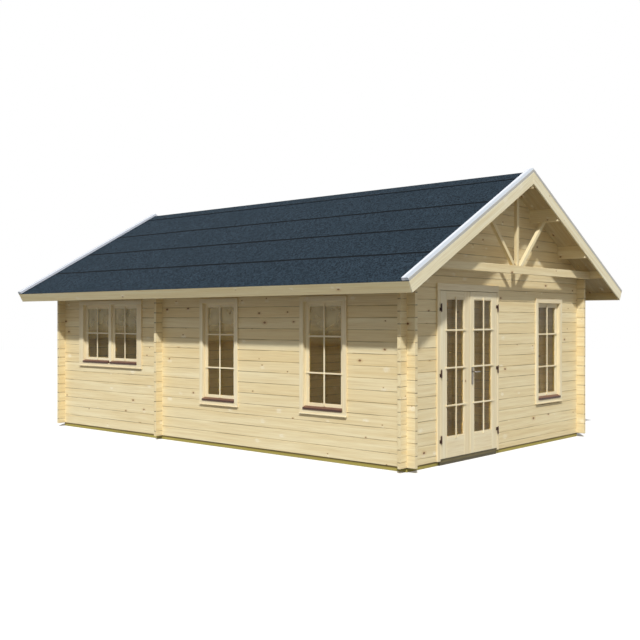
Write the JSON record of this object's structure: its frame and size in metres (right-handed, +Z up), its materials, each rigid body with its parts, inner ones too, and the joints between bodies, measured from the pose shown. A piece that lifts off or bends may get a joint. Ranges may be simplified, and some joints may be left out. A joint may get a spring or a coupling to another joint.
{
  "type": "log cabin",
  "caption": "Log cabin with interlocked notched wall logs, a felt-covered purlin roof over an open gable truss, a glazed double door that swings out and framed windows.",
  "frame": {"origin": "centre of the cabin's outline on the ground", "axes": "+Z up, -Y out of the door gable, ridge along Y, +X to the right seen from the door gable"},
  "size_m": [5.1778, 7.384, 3.4879],
  "materials": {
    "log_wood": "planed pale spruce",
    "roof_wood": "planed spruce",
    "trim_wood": "planed spruce",
    "frame_wood": "planed and sanded spruce",
    "floor_wood": "planed spruce boards",
    "treated_wood": "green pressure-treated timber",
    "dark_hardwood": "dark stained hardwood",
    "roofing_felt": "slate-grey mineral felt",
    "verge_trim": "pale coated strip",
    "hinge_metal": "dark brown coated",
    "handle_steel": "brushed",
    "window_glass": "clear"
  },
  "bodies": {
    "cabin": {"foundation_beams": "treated_wood", "floor_bearers": "treated_wood", "front_room_floor": "floor_wood", "back_room_floor": "floor_wood", "front_wall": "log_wood", "back_wall": "log_wood", "left_wall": "log_wood", "right_wall": "log_wood", "cross_wall": "log_wood", "ridge_purlin": "roof_wood", "upper_purlins": "roof_wood", "lower_purlins": "roof_wood", "roof_deck_left": "roof_wood", "roof_deck_right": "roof_wood", "felt_left": "roofing_felt", "felt_right": "roofing_felt", "ridge_cap": "roofing_felt", "fascia_left": "trim_wood", "fascia_right": "trim_wood", "front_barge_boards": "trim_wood", "back_barge_boards": "trim_wood", "front_verge_trim": "verge_trim", "back_verge_trim": "verge_trim", "tie_beam": "roof_wood", "king_post": "roof_wood", "truss_struts": "roof_wood", "door_frame": "frame_wood", "door_threshold": "dark_hardwood", "door_casing": "frame_wood", "frame_hinges": "hinge_metal", "front_window_frame": "frame_wood", "front_window_casing": "frame_wood", "front_window_sash": "frame_wood", "front_window_glass": "window_glass", "side_window_frames": "frame_wood", "side_window_casings": "frame_wood", "side_window_sashes": "frame_wood", "side_window_glass": "window_glass", "weather_bars": "dark_hardwood"},
    "left_leaf": {"left_door_leaf": "frame_wood", "left_door_glass": "window_glass", "left_leaf_hinges": "hinge_metal"},
    "right_leaf": {"right_door_leaf": "frame_wood", "right_door_glass": "window_glass", "right_leaf_hinges": "hinge_metal", "handle_plates": "handle_steel"},
    "lever": {"lever_handle": "handle_steel"}
  },
  "joints": [
    {"name": "left_door_hinge", "type": "hinge", "parent": "cabin", "child": "left_leaf", "pos_m": [-1.4245, -3.312, 1], "axis": [0, 0, -1], "range_deg": [0, 100]},
    {"name": "right_door_hinge", "type": "hinge", "parent": "cabin", "child": "right_leaf", "pos_m": [-0.1955, -3.312, 1], "axis": [0, 0, 1], "range_deg": [0, 100]},
    {"name": "lever_turn", "type": "hinge", "parent": "right_leaf", "child": "lever", "pos_m": [-0.764, -3.278, 1.034], "axis": [0, 1, 0], "range_deg": [0, 40], "stiffness_Nm_per_rad": 1, "springref_deg": -34.38}
  ]
}
